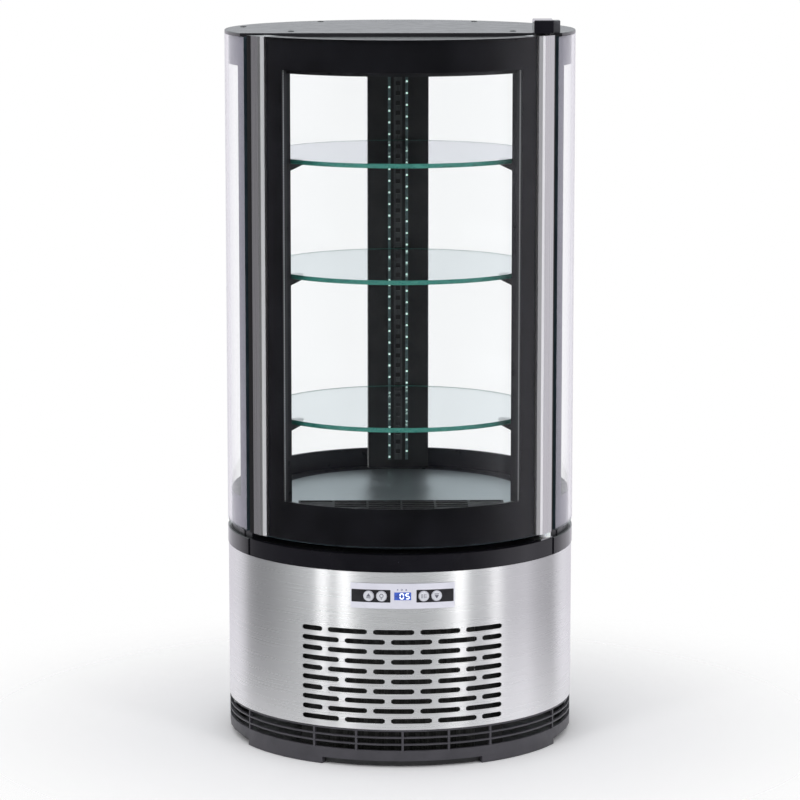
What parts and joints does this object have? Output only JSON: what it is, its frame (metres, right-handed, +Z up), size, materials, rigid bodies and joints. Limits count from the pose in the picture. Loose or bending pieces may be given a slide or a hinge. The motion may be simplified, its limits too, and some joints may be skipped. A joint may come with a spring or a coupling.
{
  "type": "round refrigerated display case",
  "caption": "Round refrigerated display case: curved glass door, glass shelves over a lit deck, louvred stainless machine base.",
  "frame": {"origin": "on the floor, on the vertical axis of the round body", "axes": "+Z up; -Y towards the door, +X towards the door's hinge"},
  "size_m": [0.48, 0.4807, 0.9954],
  "materials": {
    "black_gloss": "glossy",
    "black_satin": "satin",
    "base_plastic": "satin",
    "dark_steel": "satin",
    "stainless": "brushed",
    "anodised": "satin anodised",
    "deck_steel": "satin",
    "panel_plastic": "semi-gloss",
    "button_plastic": "satin",
    "display": "glossy",
    "clear_glass": "polished",
    "shelf_glass": "polished",
    "seal_rubber": "matte",
    "white_nylon": "satin",
    "led_strip": "satin",
    "compressor_black": "semi-gloss",
    "copper": "bright",
    "fin_aluminium": "satin",
    "fan_plastic": "satin",
    "tray_plastic": "matte"
  },
  "bodies": {
    "case": {"base_ring": "base_plastic", "base_pan": "dark_steel", "steel_shell": "stainless", "rear_service_panel": "stainless", "collar_ring": "black_gloss", "control_bezel": "panel_plastic", "display_window": "display", "compressor": "compressor_black", "drip_tray": "tray_plastic", "condenser_coil": "fin_aluminium", "fan_shroud": "dark_steel", "condenser_fan_motor": "dark_steel", "filter_drier": "copper", "copper_line": "copper", "insulated_tub": "black_satin", "evaporator_coil": "fin_aluminium", "evaporator_fan_motor": "dark_steel", "liner_ring": "black_satin", "deck_plate": "deck_steel", "deck_grille": "black_satin", "rear_column": "black_satin", "shelf_ladder": "dark_steel", "led_strip_left": "led_strip", "led_strip_right": "led_strip", "post_left": "black_satin", "post_right": "black_satin", "side_glass_outer_left": "clear_glass", "side_glass_outer_right": "clear_glass", "side_glass_inner_left": "clear_glass", "side_glass_inner_right": "clear_glass", "top_housing": "black_satin", "top_plate": "black_gloss", "hinge_bracket_top": "black_gloss", "hinge_bracket_lower": "dark_steel", "hinge_bush": "white_nylon", "shelf_upper": "shelf_glass", "shelf_bracket_upper_left": "black_satin", "shelf_bracket_upper_right": "black_satin", "shelf_bracket_upper_rear": "black_satin", "shelf_middle": "shelf_glass", "shelf_bracket_middle_left": "black_satin", "shelf_bracket_middle_right": "black_satin", "shelf_bracket_middle_rear": "black_satin", "shelf_lower": "shelf_glass", "shelf_bracket_lower_left": "black_satin", "shelf_bracket_lower_right": "black_satin", "shelf_bracket_lower_rear": "black_satin"},
    "door": {"door_glass_outer": "clear_glass", "door_glass_inner": "clear_glass", "door_spacer": "anodised", "door_handle_profile": "anodised", "door_hinge_profile": "anodised", "door_frame": "black_satin", "door_gasket": "seal_rubber"},
    "button_up": {"button_up": "button_plastic"},
    "button_lamp": {"button_lamp": "button_plastic"},
    "button_defrost": {"button_defrost": "button_plastic"},
    "button_down": {"button_down": "button_plastic"},
    "condenser_fan": {"condenser_fan": "fan_plastic"},
    "evaporator_fan": {"evaporator_fan": "fan_plastic"}
  },
  "joints": [
    {"name": "door_hinge", "type": "hinge", "parent": "case", "child": "door", "pos_m": [0.19572, -0.1242, 0.638], "axis": [0, 0, 1], "range_deg": [0, 105]},
    {"name": "button_up_press", "type": "slide", "parent": "case", "child": "button_up", "axis": [0.1891, 0.982, 0], "range_m": [0, 0.0008], "stiffness_N_per_m": 300},
    {"name": "button_lamp_press", "type": "slide", "parent": "case", "child": "button_lamp", "axis": [0.1175, 0.9931, 0], "range_m": [0, 0.0008], "stiffness_N_per_m": 300},
    {"name": "button_defrost_press", "type": "slide", "parent": "case", "child": "button_defrost", "axis": [-0.1175, 0.9931, 0], "range_m": [0, 0.0008], "stiffness_N_per_m": 300},
    {"name": "button_down_press", "type": "slide", "parent": "case", "child": "button_down", "axis": [-0.1891, 0.982, 0], "range_m": [0, 0.0008], "stiffness_N_per_m": 300},
    {"name": "condenser_fan_spin", "type": "hinge", "parent": "case", "child": "condenser_fan", "pos_m": [0, -0.13945, 0.09645], "axis": [0, 1, 0], "continuous": true},
    {"name": "evaporator_fan_spin", "type": "hinge", "parent": "case", "child": "evaporator_fan", "pos_m": [0, -0.07795, 0.2756], "axis": [0, 1, 0], "continuous": true}
  ]
}
